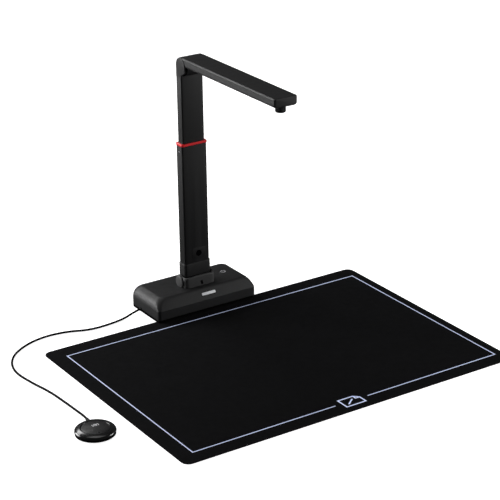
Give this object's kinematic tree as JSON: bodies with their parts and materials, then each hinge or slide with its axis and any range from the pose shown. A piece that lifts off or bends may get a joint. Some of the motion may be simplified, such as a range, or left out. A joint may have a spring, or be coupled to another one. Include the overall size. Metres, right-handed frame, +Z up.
{
  "type": "overhead book scanner",
  "caption": "Overhead book scanner: weighted base, folding telescopic column, camera arm with a ribbed lens ring, printed mat and a hand button on a cord.",
  "frame": {"origin": "on the table, under the middle of the base's footprint", "axes": "+Z up the column, -Y towards the reader over the mat, +X to the reader's right"},
  "size_m": [0.7327, 0.5547, 0.4615],
  "materials": {
    "case_plastic": "satin",
    "hidden_plastic": "matte",
    "column_metal": "satin",
    "rubber": "matte",
    "steel": "satin",
    "washer_plastic": "matte",
    "ballast_iron": "matte",
    "board_green": "satin",
    "chip_black": "matte",
    "badge_metal": "satin",
    "ring_red": "gloss",
    "dark_glass": "gloss",
    "lead_black": "matte",
    "lamp_white": "satin",
    "flex_amber": "satin",
    "lens_black": "satin",
    "mat_rubber": "matte",
    "puck_gloss": "gloss"
  },
  "bodies": {
    "base": {"base_top_shell": "case_plastic", "base_bottom_cover": "hidden_plastic", "rubber_feet": "rubber", "base_screws": "steel", "ballast_plate": "ballast_iron", "main_board": "board_green", "board_posts": "hidden_plastic", "board_chips": "chip_black", "usb_socket": "steel", "power_switch": "chip_black", "blank_badge": "badge_metal", "hinge_saddle": "case_plastic", "saddle_slot_plug": "hidden_plastic", "saddle_end_caps": "case_plastic", "saddle_screws": "steel", "foot_hinge_pin": "steel", "foot_friction_washers": "washer_plastic", "scan_mat": "mat_rubber", "puck_pad": "rubber", "puck_bottom": "hidden_plastic", "puck_rim": "puck_gloss", "puck_board": "board_green", "puck_switch": "chip_black", "puck_spring": "steel", "cord_boot": "rubber", "button_cord": "lead_black", "cord_grommet": "rubber"},
    "power_key": {"power_key": "case_plastic"},
    "lower_column": {"foot_knuckle": "hidden_plastic", "lower_column_tube": "column_metal", "foot_collar": "case_plastic", "red_trim_ring": "ring_red", "slide_liner": "hidden_plastic", "sensor_window": "dark_glass", "sensor_board": "hidden_plastic", "coiled_lead": "lead_black"},
    "upper_column": {"upper_column_tube": "column_metal", "tube_stop": "hidden_plastic", "camera_lead": "lead_black", "elbow_fork": "case_plastic", "elbow_pin": "steel", "elbow_friction_discs": "washer_plastic"},
    "arm": {"arm_top_shell": "case_plastic", "arm_bottom_cover": "case_plastic", "elbow_barrel": "case_plastic", "arm_screws": "steel", "light_diffuser": "lamp_white", "lamp_board": "board_green", "lamp_leds": "lamp_white", "camera_flex": "flex_amber", "camera_board": "board_green", "image_sensor": "chip_black", "lens_holder": "hidden_plastic", "lens_barrel": "lens_black", "lens_glasses": "dark_glass"},
    "focus_ring": {"focus_ring": "lens_black"},
    "hand_button": {"button_cap": "puck_gloss"}
  },
  "joints": [
    {"name": "column_fold", "type": "hinge", "parent": "base", "child": "lower_column", "pos_m": [0, -0.009, 0.05], "axis": [-1, 0, 0], "range_deg": [0, 70]},
    {"name": "column_extend", "type": "slide", "parent": "lower_column", "child": "upper_column", "axis": [0, 0, 1], "range_m": [-0.074, 0], "deforming": ["coiled_lead"]},
    {"name": "arm_fold", "type": "hinge", "parent": "upper_column", "child": "arm", "pos_m": [0, -0.016, 0.445], "axis": [1, 0, 0], "range_deg": [0, 84]},
    {"name": "focus_turn", "type": "hinge", "parent": "arm", "child": "focus_ring", "pos_m": [0, -0.285, 0.44], "axis": [0, 0, 1], "range_deg": [-45, 45]},
    {"name": "power_press", "type": "slide", "parent": "base", "child": "power_key", "axis": [0, 0, -1], "range_m": [0, 0.0008], "stiffness_N_per_m": 900, "springref_m": -0.0005},
    {"name": "hand_press", "type": "slide", "parent": "base", "child": "hand_button", "axis": [0, 0, -1], "range_m": [0, 0.0015], "stiffness_N_per_m": 600, "springref_m": -0.001, "deforming": ["puck_spring"]}
  ]
}
